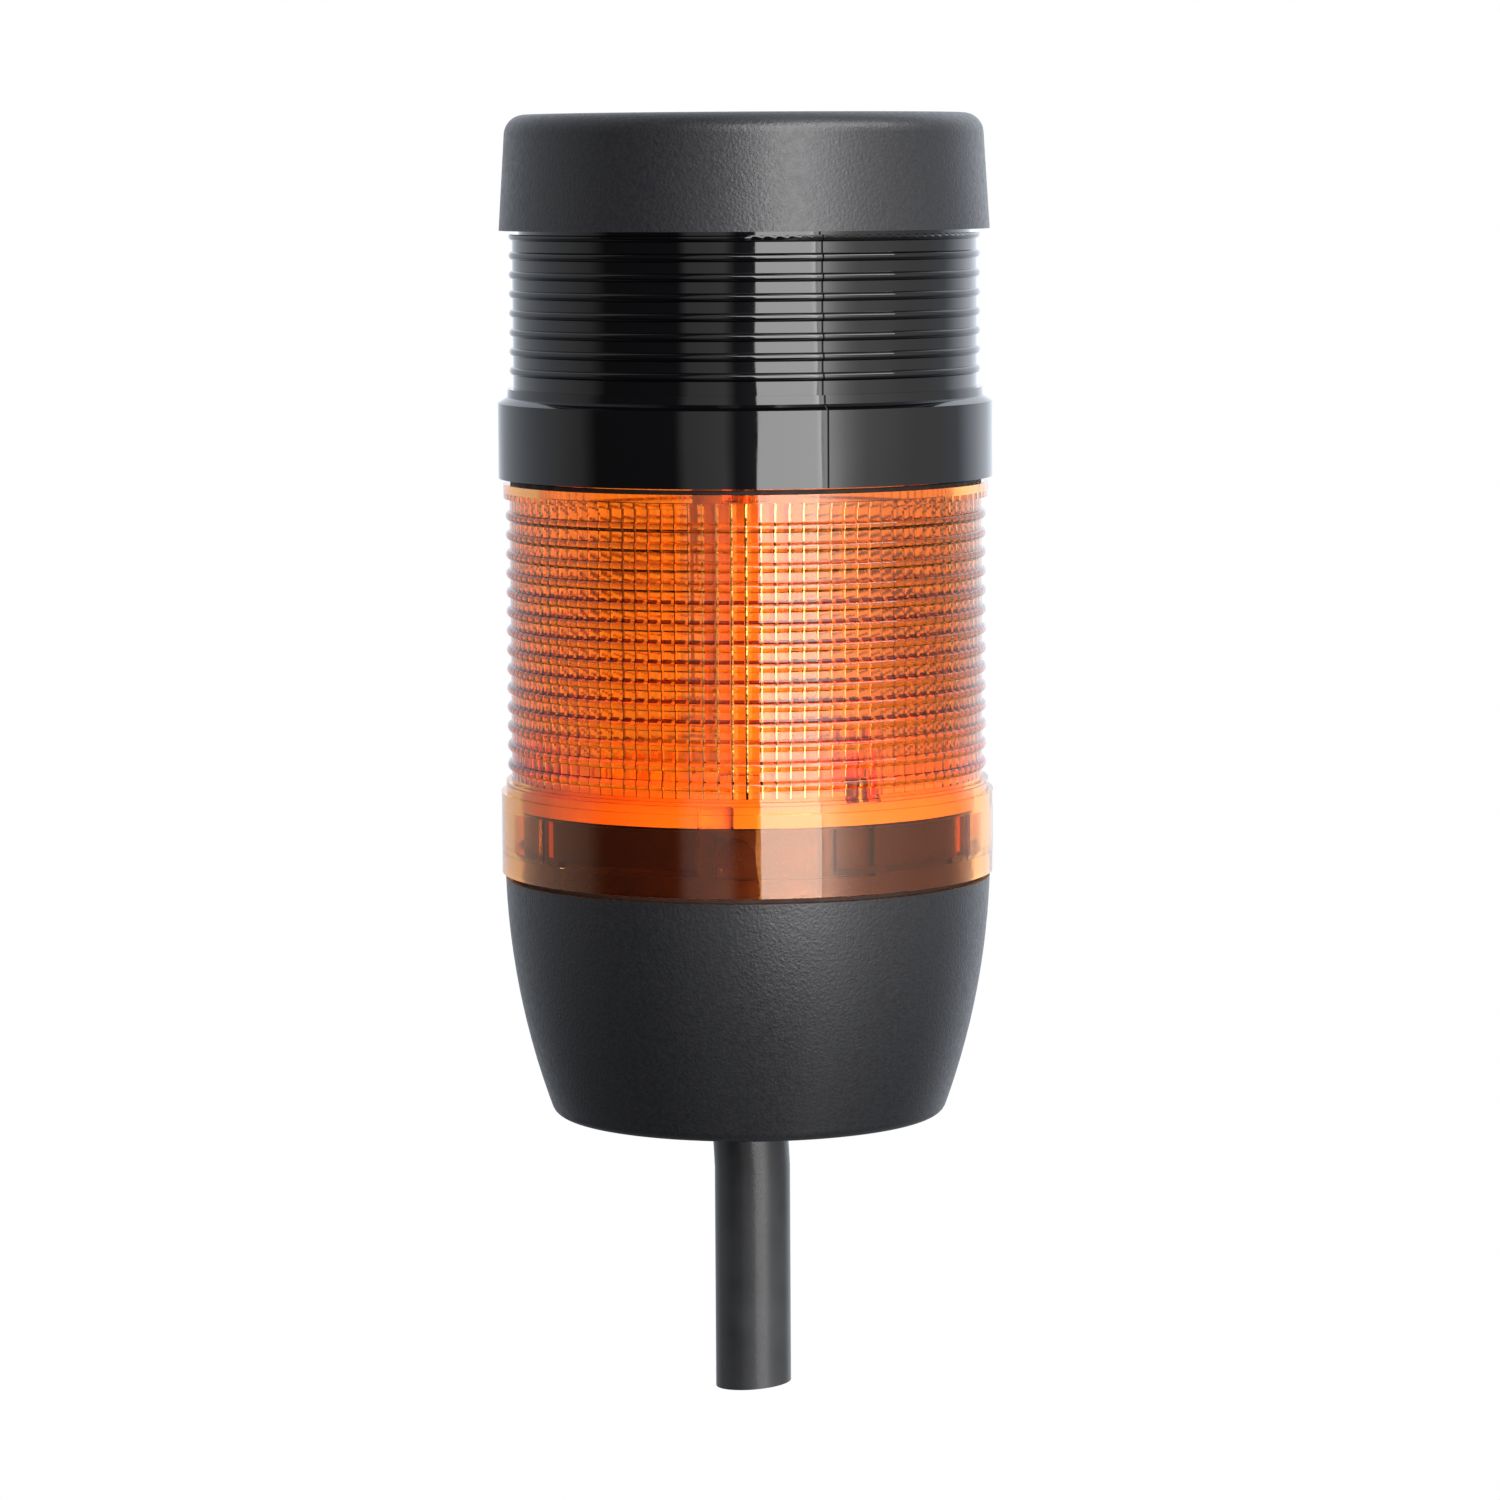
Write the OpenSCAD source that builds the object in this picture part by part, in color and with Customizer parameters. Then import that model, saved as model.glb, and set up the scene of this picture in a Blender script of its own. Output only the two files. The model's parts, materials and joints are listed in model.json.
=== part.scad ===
// Signal tower: a bowl base on a cable, an amber light module, a black sounder
// module and a cap. Each module twists on a bayonet on the neck of the one below.
// Millimetres, +Z up the tower, the front faces -Y, the origin is at the centre
// of the base's underside.

/* [Tower] */
// Outer diameter of the collars
collar_d = 70; // [68:0.5:74]
// Gap between a collar and the neck inside it
fit_gap = 0.4; // [0.3:0.05:0.5]
// Turn that brings a module's pins to the open end of their channels
unlock_turn = 30; // [20:1:35]
// Height that each neck stands up inside the collar above it
neck_h = 10; // [9:0.5:10.5]

/* [Base] */
// Height of the bowl up to its rim
base_h = 34.2; // [33:0.2:38]
// Radius of the bowl's curved side
bowl_arc_r = 108; // [95:1:140]
// Thickness of the moulded walls
wall = 2.4; // [2.2:0.1:2.6]
// Diameter of the circle through the fixing holes
fixing_pcd = 40; // [36:1:42]
// Diameter of the fixing holes
fixing_d = 5.8; // [4.3:0.1:6]

/* [Light module] */
// Height from one collar's lower edge to the next
light_pitch = 56; // [54:0.5:60]
// Number of rings round the lens
lens_rings = 14; // [10:1:14]
// Distance between the rings of the lens
lens_ring_pitch = 2.72; // [2.5:0.01:2.75]
// Number of upright flutes inside the lens
flute_count = 104; // [60:2:120]
// Number of LEDs
led_count = 12; // [6:1:16]

/* [Sounder module] */
// Height from the sounder's lower edge to the cap's
sounder_pitch = 34.8; // [34.5:0.1:38]
// Number of rings round the sounder
sounder_rings = 8; // [6:1:8]
// Distance between the rings of the sounder
sounder_ring_pitch = 2.7; // [2.5:0.05:2.7]

/* [Cap] */
// Height of the cap
cap_h = 16.2; // [15.5:0.1:20]
// Radius of the cap's upper edge
cap_edge_r = 2.9; // [2:0.1:4]

/* [Cable] */
// Diameter of the cable
cable_d = 10.8; // [9:0.1:10.8]

/* [Hidden] */

$fn = 96;
tiny = 0.01;
front = -90;
collar_r = collar_d / 2;
collar_bore = collar_r - 2.7;
neck_r = collar_bore - fit_gap;
neck_bore = neck_r - wall;
seam = 0.8;
base_rim = base_h;
light_z = base_rim + seam;
sounder_z = light_z + light_pitch;
cap_z = sounder_z + sounder_pitch;
tower_top = cap_z + cap_h;

// Bowl: the side is an arc whose tangent leans in by rim_draft at the rim
rim_r = collar_r - 0.5;
rim_draft = 1.95;
bowl_edge_r = 2;
bowl_x = rim_r - bowl_arc_r * cos(rim_draft);
bowl_z = base_h + bowl_arc_r * sin(rim_draft);
bowl_edge_x = bowl_x + sqrt(pow(bowl_arc_r - bowl_edge_r, 2) - pow(bowl_z - bowl_edge_r, 2));
bowl_edge_z = bowl_z - (bowl_z - bowl_edge_r) * bowl_arc_r / (bowl_arc_r - bowl_edge_r);
floor_t = 3;

// Bayonet: three round pins inside each collar run in channels cut in the neck
pin_r = 2.6;
pin_play = 0.3;
pin_up = 5.2;
pin_angles = [for (i = [0:2]) front - 2.7 + 120 * i];
channel_r = neck_r - 1.2;
pin_tip_r = channel_r + pin_play;

// Contacts: one arc strip for each wire on the plate below, one finger above
ways = 5;
contact_r = [for (k = [0:ways - 1]) 9 + 3.5 * k];
contact_w = 2.2;
contact_t = 0.5;
contact_arc = [82, 128];
rivet_angles = [contact_arc[0] + 8, contact_arc[1] - 8];
rivet_r = 0.7;
finger_gap = 0.3;
plate_t = 2;
plate_drop = 1.2;
plate_r = neck_bore - 0.3;
plate_screw_r = neck_bore - 3.05;
post_r = 3.2;
plate_screw_angles = [20, 160, 270];
screw_shank_r = 1.25;
screw_head_r = 2.3;
screw_head_h = 1.3;
screw_recess = 0.15;
screw_play = 0.1;

// Heights of the plates and of what hangs above them
base_neck_top = base_rim + neck_h;
base_plate_z = base_neck_top - plate_drop - plate_t;
carrier_gap = 0.25;
carrier_z = base_neck_top + carrier_gap;
carrier_t = 2.95;
carrier_r = collar_bore - 0.3;
board_t = 1.6;
led_board_z = carrier_z + carrier_t;
lens_top = sounder_z - seam;
light_neck_top = lens_top + neck_h;
light_plate_z = light_neck_top - plate_drop - plate_t;
ledge_t = 1.8;
light_post_h = 8;
sounder_board_z = light_neck_top + plate_drop;
sounder_board_top = sounder_board_z + board_t;
sounder_wall_top = cap_z - 0.5;
sounder_neck_top = sounder_wall_top + neck_h + 0.7;
deck_t = 2;

// Lens wall
lens_valley_r = collar_r - 1.5;
lens_ring_r = collar_r - 0.93;
lens_bead = 0.72;
lens_lip_r = collar_r - 0.65;
lens_ring_z = light_z + 15.3;
lens_flange_h = 1.6;
lens_lip_h = 2;
lens_deck_t = 1.3;
collar_h = 11.5;
lens_foot_bore = collar_r - 3.8;
flute_in = collar_r - 2.98;
flute_out = collar_r - 2.8;
flute_shape = [[0, flute_out], [0.1, flute_in], [0.36, flute_in - 0.05], [0.64, flute_in - 0.05],
               [0.9, flute_in]];
window_z = [light_z + 2.7, light_z + 9.15];
window_bore = collar_bore + 1;
window_bevel = 1;
window_arcs = [[21, 62], [65, 108]];

// Sounder wall
sounder_valley_r = collar_r - 2.2;
sounder_ring_r = collar_r - 1.7;
sounder_bead = 0.62;
sounder_wall_bore = sounder_valley_r - 2;
sounder_collar_h = 10.6;
sounder_ring_z = sounder_z + 15.1;

// Cable: the route runs down the middle, from inside the base to its cut end
cable_r = cable_d / 2;
cable_route = [
    [0, 0, 25], [0, 0, 20], [0, 0, 16], [0, 0, 12], [0, 0, 8], [0, 0, 4], [0, 0, 0],
    [0.2, 0, -4], [0.4, 0, -8], [0.4, 0, -12], [0.4, 0, -16], [0.4, 0, -20],
    [0.4, 0, -24], [0.4, 0, -28], [0.4, 0, -32], [0.4, 0, -36], [0.4, 0, -40]
];
jacket_sides = 12;
core_r = 0.9;
core_ring = 2.6;
core_sides = 8;
core_angles = [198, 126, 270, 54, 342];
core_steps = 8;
core_top = cable_route[0][2];

// Inside the base: bush, saddle and clamp for the cable, terminal block, gasket
grommet_r = cable_r + 2;
saddle = [20, 8, 13];
saddle_y = 1;
clamp = [20, 8, 8];
clamp_z = 10;
clamp_screw_x = 8;
clamp_screw_l = 16;
block = [20, 9, 9];
block_y = 12.5;
block_z = base_plate_z - block[2];
block_pitch = 3.5;
entry_depth = 3;
terminal_up = 6;
terminal_r = 1.35;
terminal_deep = 1.5;
gasket_r = [24.2, 26.2];
gasket_t = 1.2;
seal_t = 0.5;
fixing_boss = 2.4;
fixing_angles = [90, 210, 330];
post_foot = 14;
plate_screw_l = 9;

// Inside the light module: carrier screws and bosses, LEDs, reflector, bus bars
carrier_screw_angles = [60, 180, 300];
carrier_boss_r = 3;
carrier_boss_at = collar_r - 5.85;
carrier_boss_h = 7;
carrier_recess = 1.5;
carrier_screw_l = 6;
tab_arc = [front - 11.5, front - 3.9];
tab_play = 0.6;
led_board_bore = 7;
led_ring = 19;
led_size = [3.5, 2.8, 1.2];
led_dome_r = 1.3;
reflector_foot_r = 5.6;
reflector_top_r = 8;
reflector_t = 1.2;
reflector_flange = [14, 2];
reflector_bottom = led_board_z + board_t;
reflector_top = light_plate_z - reflector_flange[1];
bar_size = [1.1, 0.6];
bar_pitch = 1.7;
bar_gap = 0.3;

// Inside the sounder: buzzer can, volume trimmer, tone switch
can_at = [0, 4];
can_r = 20;
can_h = 16;
can_t = 1.5;
can_port_r = 4;
diaphragm_up = 7;
diaphragm_t = 0.4;
diaphragm_play = 0.1;
board_screw_l = 7;
sound_hole_r = 1.4;
sound_hole_step = 5;
trimmer_at = [-9, -19];
trimmer_w = 6.6;
trimmer_h = 5;
rotor_r = 1.9;
rotor_h = 2.2;
rotor_gap = 0.3;
switch_at = [8, -19];
switch_size = [7.2, 6, 4];
slot_size = [1.8, 4, 1.6];
slot_x = 1.5;
slider_size = [1.2, 1.4, 2];
slider_gap = 0.3;

function unit(v) = v / norm(v);
function heading(route, i) =
    unit(route[min(i + 1, len(route) - 1)] - route[max(i - 1, 0)]);
function ring_points(route, i, r, sides) =
    let (t = heading(route, i), u = unit(cross(t, [1, 0, 0])), v = cross(t, u))
    [for (s = [0:sides - 1]) route[i] + r * (cos(360 * s / sides) * u + sin(360 * s / sides) * v)];

// A tube swept along a route, closed at both ends
module swept_tube(route, r, sides) {
    last = len(route) - 1;
    points = [for (i = [0:last]) each ring_points(route, i, r, sides)];
    faces = concat(
        [[for (s = [0:sides - 1]) sides - 1 - s]],
        [for (i = [0:last - 1]) for (s = [0:sides - 1])
            [i * sides + s, i * sides + (s + 1) % sides,
             (i + 1) * sides + (s + 1) % sides, (i + 1) * sides + s]],
        [[for (s = [0:sides - 1]) last * sides + s]]
    );
    polyhedron(points, faces);
}

module ring(r_in, r_out, z0, z1) {
    difference() {
        translate([0, 0, z0]) cylinder(r = r_out, h = z1 - z0);
        translate([0, 0, z0 - 1]) cylinder(r = r_in, h = z1 - z0 + 2);
    }
}

// A sector of a ring, from angle a0 to a1
module sector(r_in, r_out, z0, z1, a0, a1) {
    rotate([0, 0, a0]) rotate_extrude(angle = a1 - a0)
        translate([r_in, z0]) square([r_out - r_in, z1 - z0]);
}

module at(angles, r) {
    for (a = angles) rotate([0, 0, a]) translate([r, 0, 0]) children();
}

// Round pins inside a collar whose lower edge is at z
module bayonet_pins(z) {
    at(pin_angles, pin_tip_r) translate([0, 0, z + pin_up]) rotate([0, 90, 0])
        cylinder(r = pin_r, h = collar_bore - pin_tip_r + 0.8);
}

// Neck with its channels, under a collar whose lower edge is at z. Each channel
// runs round from the locked pin and then up and out of the neck's top.
module bayonet_neck(z, bottom, top) {
    half_w = pin_r + pin_play;
    low = z + pin_up - half_w;
    difference() {
        ring(neck_bore, neck_r, bottom, top);
        for (a = pin_angles) {
            sector(channel_r, neck_r + 1, low, low + 2 * half_w,
                   a - asin(half_w / channel_r), a + unlock_turn);
            rotate([0, 0, a + unlock_turn]) translate([channel_r - 0.15, -half_w, low - 0.1])
                cube([3, 2 * half_w, top - low + 1]);
        }
    }
}

// Plate with counterbored screw holes
module contact_plate(z) {
    difference() {
        translate([0, 0, z]) cylinder(r = plate_r, h = plate_t);
        at(plate_screw_angles, plate_screw_r) {
            translate([0, 0, z - 1]) cylinder(r = screw_shank_r + 0.15, h = plate_t + 2);
            translate([0, 0, z + plate_t - screw_head_h - screw_recess])
                cylinder(r = screw_head_r + 0.2, h = screw_head_h + 1);
        }
        for (r = contact_r) at(rivet_angles, r)
            translate([0, 0, z - 1]) cylinder(r = rivet_r, h = plate_t + 2);
    }
}

// Arc strips on the plate, each held by two rivets through it
module contact_strips(z) {
    for (r = contact_r) {
        sector(r - contact_w / 2, r + contact_w / 2, z + plate_t, z + plate_t + contact_t,
               contact_arc[0], contact_arc[1]);
        at(rivet_angles, r) translate([0, 0, z]) cylinder(r = rivet_r, h = plate_t + contact_t / 2);
    }
}

// Leaf springs under a board at z, each bowed down to just clear its strip
module contact_fingers(z, tip_z) {
    leaf = 0.4;
    drop = z - tip_z;
    for (r = contact_r) rotate([0, 0, 90]) translate([r, 0, 0])
        rotate([90, 0, 90]) linear_extrude(height = contact_w - 0.6, center = true)
            polygon([
                [-3, z], [-3, z - leaf], [-1.6, z - leaf], [-0.5, z - drop], [0.5, z - drop],
                [1.6, z - leaf], [3, z - leaf], [3, z], [1.4, z], [0.3, z - drop + leaf],
                [-0.3, z - drop + leaf], [-1.4, z]
            ]);
}

// Pan-head screws whose heads' tops are at z, pointing down
module screws_down(angles, r, z, length) {
    at(angles, r) difference() {
        union() {
            translate([0, 0, z - screw_head_h]) cylinder(r = screw_head_r, h = screw_head_h);
            translate([0, 0, z - length]) cylinder(r = screw_shank_r, h = length);
        }
        for (turn = [0, 90]) rotate([0, 0, turn])
            translate([-1.4, -0.3, z - 0.7]) cube([2.8, 0.6, 1]);
    }
}

// The same screws pointing up, with the heads' lower faces at z
module screws_up(angles, r, z, length) {
    translate([0, 0, z]) mirror([0, 0, 1]) screws_down(angles, r, 0, length);
}

module beads(count, pitch, first_z, outer_r, bead_r) {
    for (i = [0:count - 1]) translate([outer_r - bead_r, first_z + i * pitch]) circle(r = bead_r);
}

module base_outline() {
    intersection() {
        translate([bowl_x, bowl_z]) circle(r = bowl_arc_r, $fn = 200);
        translate([0, bowl_edge_z]) square([rim_r + 1, base_h - bowl_edge_z]);
    }
    square([bowl_edge_x, bowl_edge_z + tiny]);
    intersection() {
        translate([bowl_edge_x, bowl_edge_r]) circle(r = bowl_edge_r);
        square([rim_r, bowl_edge_z + 1]);
    }
}

module base_hollow() {
    intersection() {
        translate([bowl_x, bowl_z]) circle(r = bowl_arc_r - wall, $fn = 200);
        translate([0, floor_t]) square([neck_bore, base_h + neck_h]);
    }
}

module base_housing() {
    color("#2b2d30") difference() {
        union() {
            difference() {
                rotate_extrude() base_outline();
                rotate_extrude() base_hollow();
            }
            bayonet_neck(light_z, base_rim - wall, base_neck_top);
            at(plate_screw_angles, plate_screw_r)
                translate([0, 0, post_foot]) cylinder(r = post_r, h = base_plate_z - post_foot);
            at(fixing_angles, fixing_pcd / 2) cylinder(r = fixing_d / 2 + fixing_boss, h = floor_t + 2);
            translate([-saddle[0] / 2, saddle_y, floor_t - 1]) cube(saddle);
        }
        translate([0, 0, -1]) cylinder(r = grommet_r, h = floor_t + 1.5);
        cylinder(r = cable_r, h = base_h);
        at(fixing_angles, fixing_pcd / 2) translate([0, 0, -1]) cylinder(r = fixing_d / 2, h = base_h);
        at(plate_screw_angles, plate_screw_r)
            translate([0, 0, base_plate_z - plate_screw_l])
                cylinder(r = screw_shank_r, h = plate_screw_l + 1);
        for (x = [-clamp_screw_x, clamp_screw_x])
            translate([x, saddle_y + saddle[1] + 1, clamp_z]) rotate([90, 0, 0])
                cylinder(r = screw_shank_r, h = saddle[1] + 4);
        ring(gasket_r[0], gasket_r[1], -1, gasket_t);
    }
}

// Flat gasket, flush with the underside
module base_gasket() {
    color("#1b1b1c") ring(gasket_r[0], gasket_r[1], 0, gasket_t);
}

// Rubber bush that the cable comes out of
module cable_grommet() {
    color("#1b1b1c") ring(cable_r, grommet_r, 0, floor_t);
}

module cable_jacket() {
    color("#26272a") swept_tube(cable_route, cable_r, jacket_sides);
}

// One wire, from the end of the jacket up into the terminal block
module core(slot) {
    turn = core_angles[slot];
    first = [core_ring * cos(turn), core_ring * sin(turn), core_top];
    straight = 0.4;
    start = first + [0, 0, straight];
    finish = [(slot - 2) * block_pitch, block_y, block_z + entry_depth];
    rise = block_z - start[2];
    route = [
        first,
        for (i = [0:core_steps])
            let (s = i / core_steps, blend = s * s * (3 - 2 * s))
            [start[0] + (finish[0] - start[0]) * blend,
             start[1] + (finish[1] - start[1]) * blend,
             start[2] + rise * s],
        finish
    ];
    swept_tube(route, core_r, core_sides);
}

module core_brown() {
    color("#6b3f22") core(0);
}

module core_blue() {
    color("#2d5fa8") core(1);
}

module core_black() {
    color("#1c1c1e") core(2);
}

module core_grey() {
    color("#8d9094") core(3);
}

module core_earth() {
    color("#7fa52c") core(4);
}

// Bar that clamps the jacket against the saddle in the base
module strain_clamp() {
    color("#3a3c40") difference() {
        translate([-clamp[0] / 2, -saddle_y - clamp[1], clamp_z - clamp[2] / 2]) cube(clamp);
        cylinder(r = cable_r, h = base_h);
        for (x = [-clamp_screw_x, clamp_screw_x])
            translate([x, 0, clamp_z]) rotate([90, 0, 0])
                cylinder(r = screw_shank_r + screw_play, h = saddle_y + clamp[1] + 1);
    }
}

module strain_clamp_screws() {
    head_h = 1.8;
    slot = [3.2, 0.7, 0.8];
    color("#b9bcc0") for (x = [-clamp_screw_x, clamp_screw_x])
        translate([x, -saddle_y - clamp[1], clamp_z]) rotate([90, 0, 0]) difference() {
            union() {
                cylinder(r = screw_head_r, h = head_h);
                translate([0, 0, -clamp_screw_l]) cylinder(r = screw_shank_r, h = clamp_screw_l + 0.1);
            }
            translate([-slot[0] / 2, -slot[1] / 2, head_h - slot[2]]) cube([slot[0], slot[1], 1]);
        }
}

module terminal_block() {
    color("#3f7f57") difference() {
        translate([-block[0] / 2, block_y - block[1] / 2, block_z]) cube(block);
        for (k = [0:ways - 1]) translate([(k - 2) * block_pitch, block_y, 0]) {
            translate([0, 0, block_z - 1]) cylinder(r = core_r + 0.15, h = entry_depth + 1.5);
            translate([0, -terminal_deep, block_z + terminal_up]) rotate([90, 0, 0])
                cylinder(r = terminal_r + screw_play, h = block[1]);
        }
    }
}

module terminal_screws() {
    length = 2.4;
    slot = [2.2, 0.4, 0.6];
    color("#c9b46a") for (k = [0:ways - 1])
        translate([(k - 2) * block_pitch, block_y - terminal_deep, block_z + terminal_up])
            rotate([90, 0, 0]) difference() {
                cylinder(r = terminal_r, h = length);
                translate([-slot[0] / 2, -slot[1] / 2, length - slot[2]]) cube([slot[0], slot[1], 1]);
            }
}

module base_contact_plate() {
    color("#3a3c40") contact_plate(base_plate_z);
}

module base_contacts() {
    color("#d9b866") contact_strips(base_plate_z);
}

module base_plate_screws() {
    color("#b9bcc0")
        screws_down(plate_screw_angles, plate_screw_r, base_plate_z + plate_t - screw_recess,
                    plate_screw_l);
}

// Flat seal on the base's rim, under the light module's collar
module base_rim_seal() {
    color("#1b1b1c") ring(neck_r, rim_r - 1, base_rim, base_rim + seal_t);
}

module lens_outline() {
    collar_top = light_z + collar_h;
    difference() {
        union() {
            translate([neck_bore, light_z]) square([collar_r - neck_bore, collar_h]);
            translate([neck_bore, collar_top]) square([collar_r - 0.7 - neck_bore, lens_flange_h]);
            translate([neck_bore, collar_top])
                square([lens_valley_r - neck_bore, lens_top - collar_top]);
            translate([neck_bore, lens_top - lens_lip_h])
                square([lens_lip_r - neck_bore, lens_lip_h]);
            beads(lens_rings, lens_ring_pitch, lens_ring_z, lens_ring_r, lens_bead);
        }
        translate([0, light_z - 1]) square([collar_bore, led_board_z - light_z + 1]);
        translate([0, light_z]) square([lens_foot_bore, lens_top - lens_deck_t - light_z]);
    }
}

// Prism that hollows the lens. Its upright flutes are flat lands with a narrow groove between.
module flutes() {
    step = 360 / flute_count;
    rim = [for (i = [0:flute_count - 1]) for (p = flute_shape)
        p[1] * [cos(front + (i + p[0]) * step), sin(front + (i + p[0]) * step)]];
    z0 = led_board_z + 1;
    translate([0, 0, z0]) linear_extrude(height = lens_top - lens_deck_t - z0) polygon(rim);
}

module light_lens() {
    color("#ff7a1a", 0.7) {
        difference() {
            rotate_extrude() lens_outline();
            flutes();
            for (i = [0:2]) for (arc = window_arcs)
                rotate([0, 0, front + arc[0] + 120 * i]) rotate_extrude(angle = arc[1] - arc[0])
                    polygon([
                        [collar_bore - 1, window_z[0] - window_bevel], [window_bore, window_z[0] + window_bevel],
                        [window_bore, window_z[1]], [collar_bore - 1, window_z[1]]
                    ]);
        }
        bayonet_pins(light_z);
        // Tab beside the front pin, just clear of the neck's top
        sector(carrier_r - 1.5, collar_bore + 0.5, base_neck_top + 0.3, led_board_z,
               tab_arc[0], tab_arc[1]);
        bayonet_neck(sounder_z, lens_top - lens_deck_t / 2, light_neck_top);
        // Ledge and posts for the contact plate
        difference() {
            union() {
                ring(neck_bore - 5, neck_bore + 0.5, light_plate_z - ledge_t, light_plate_z);
                at(plate_screw_angles, plate_screw_r)
                    translate([0, 0, light_plate_z - light_post_h]) cylinder(r = post_r, h = light_post_h);
            }
            at(plate_screw_angles, plate_screw_r)
                translate([0, 0, light_plate_z - light_post_h - 1])
                    cylinder(r = screw_shank_r, h = light_post_h + 2);
        }
        at(carrier_screw_angles, carrier_boss_at) difference() {
            translate([0, 0, led_board_z]) cylinder(r = carrier_boss_r, h = carrier_boss_h);
            translate([0, 0, led_board_z - 1]) cylinder(r = screw_shank_r, h = carrier_boss_h - 1);
        }
    }
}

// White floor of the light module
module light_carrier() {
    slot = [11, 2.4];
    color("#e9e6dd") difference() {
        translate([0, 0, carrier_z]) cylinder(r = carrier_r, h = carrier_t);
        // Slot for the bus bars
        translate([-slot[0] / 2, -slot[1] / 2, carrier_z - 1]) cube([slot[0], slot[1], carrier_t + 2]);
        at(carrier_screw_angles, carrier_boss_at) {
            translate([0, 0, carrier_z - 1]) cylinder(r = screw_shank_r + screw_play, h = carrier_t + 2);
            translate([0, 0, carrier_z - 1]) cylinder(r = screw_head_r + 0.2, h = 1 + carrier_recess);
        }
        // Notch for the lens's tab
        sector(carrier_r - 1.8, carrier_r + 1, carrier_z - 1, carrier_z + carrier_t + 1,
               tab_arc[0] - tab_play, tab_arc[1] + tab_play);
    }
}

module light_carrier_screws() {
    color("#b9bcc0")
        screws_up(carrier_screw_angles, carrier_boss_at, carrier_z + carrier_recess - screw_head_h,
                  carrier_screw_l);
}

module light_fingers() {
    color("#d9b866") contact_fingers(carrier_z, base_plate_z + plate_t + contact_t + finger_gap);
}

module led_board() {
    color("#dfe3dc") difference() {
        translate([0, 0, led_board_z]) cylinder(r = lens_foot_bore - 0.2, h = board_t);
        translate([0, 0, led_board_z - 1]) cylinder(r = led_board_bore, h = board_t + 2);
        at(carrier_screw_angles, carrier_boss_at)
            translate([0, 0, led_board_z - 1]) cylinder(r = carrier_boss_r + 0.2, h = board_t + 2);
    }
}

// Each LED is a square package with a domed top
module leds() {
    color("#f3e6b0") for (i = [0:led_count - 1])
        rotate([0, 0, (i + 0.5) * 360 / led_count]) translate([led_ring, 0, led_board_z + board_t]) {
            translate([-led_size[0] / 2, -led_size[1] / 2, 0]) cube(led_size);
            translate([0, 0, led_size[2]]) rotate_extrude() intersection() {
                circle(r = led_dome_r);
                square(led_dome_r);
            }
        }
}

// Slim white column round the bus bars, which flares upwards and throws the light out
module light_reflector() {
    rise = reflector_top - reflector_bottom;
    color("#f4f2ea") difference() {
        union() {
            translate([0, 0, reflector_bottom])
                cylinder(r1 = reflector_foot_r, r2 = reflector_top_r, h = rise + 0.5);
            translate([0, 0, reflector_top]) cylinder(r = reflector_flange[0], h = reflector_flange[1]);
        }
        translate([0, 0, reflector_bottom - 1])
            cylinder(r = reflector_foot_r - reflector_t, h = rise + 4);
    }
}

// Bars that carry the circuits up through the module, inside the reflector
module light_bus_bars() {
    color("#d9b866") for (k = [0:ways - 1])
        translate([(k - 2) * bar_pitch - bar_size[0] / 2, -bar_size[1] / 2, carrier_z + bar_gap])
            cube([bar_size[0], bar_size[1], light_plate_z - carrier_z - bar_gap]);
}

module light_contact_plate() {
    color("#3a3c40") contact_plate(light_plate_z);
}

module light_contacts() {
    color("#d9b866") contact_strips(light_plate_z);
}

module light_plate_screws() {
    color("#b9bcc0")
        screws_down(plate_screw_angles, plate_screw_r, light_plate_z + plate_t - screw_recess,
                    plate_screw_l);
}

module light_rim_seal() {
    color("#1b1b1c") ring(neck_r, lens_lip_r - 1, lens_top, lens_top + seal_t);
}

module sounder_outline() {
    collar_top = sounder_z + sounder_collar_h;
    difference() {
        union() {
            translate([neck_bore, sounder_z]) square([collar_r - neck_bore, sounder_collar_h]);
            polygon([
                [neck_bore, collar_top], [collar_r, collar_top], [collar_r - 1.3, collar_top + 0.8],
                [collar_r - 1.4, collar_top + 2], [neck_bore, collar_top + 2]
            ]);
            translate([neck_bore, collar_top])
                square([sounder_valley_r - neck_bore, sounder_wall_top - collar_top]);
            intersection() {
                beads(sounder_rings, sounder_ring_pitch, sounder_ring_z, sounder_ring_r, sounder_bead);
                square([collar_r, sounder_wall_top]);
            }
        }
        translate([0, sounder_z - 1]) square([collar_bore, collar_top - sounder_z + 0.5]);
        translate([0, sounder_z]) square([sounder_wall_bore, sounder_wall_top - 1.8 - sounder_z]);
    }
}

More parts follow.
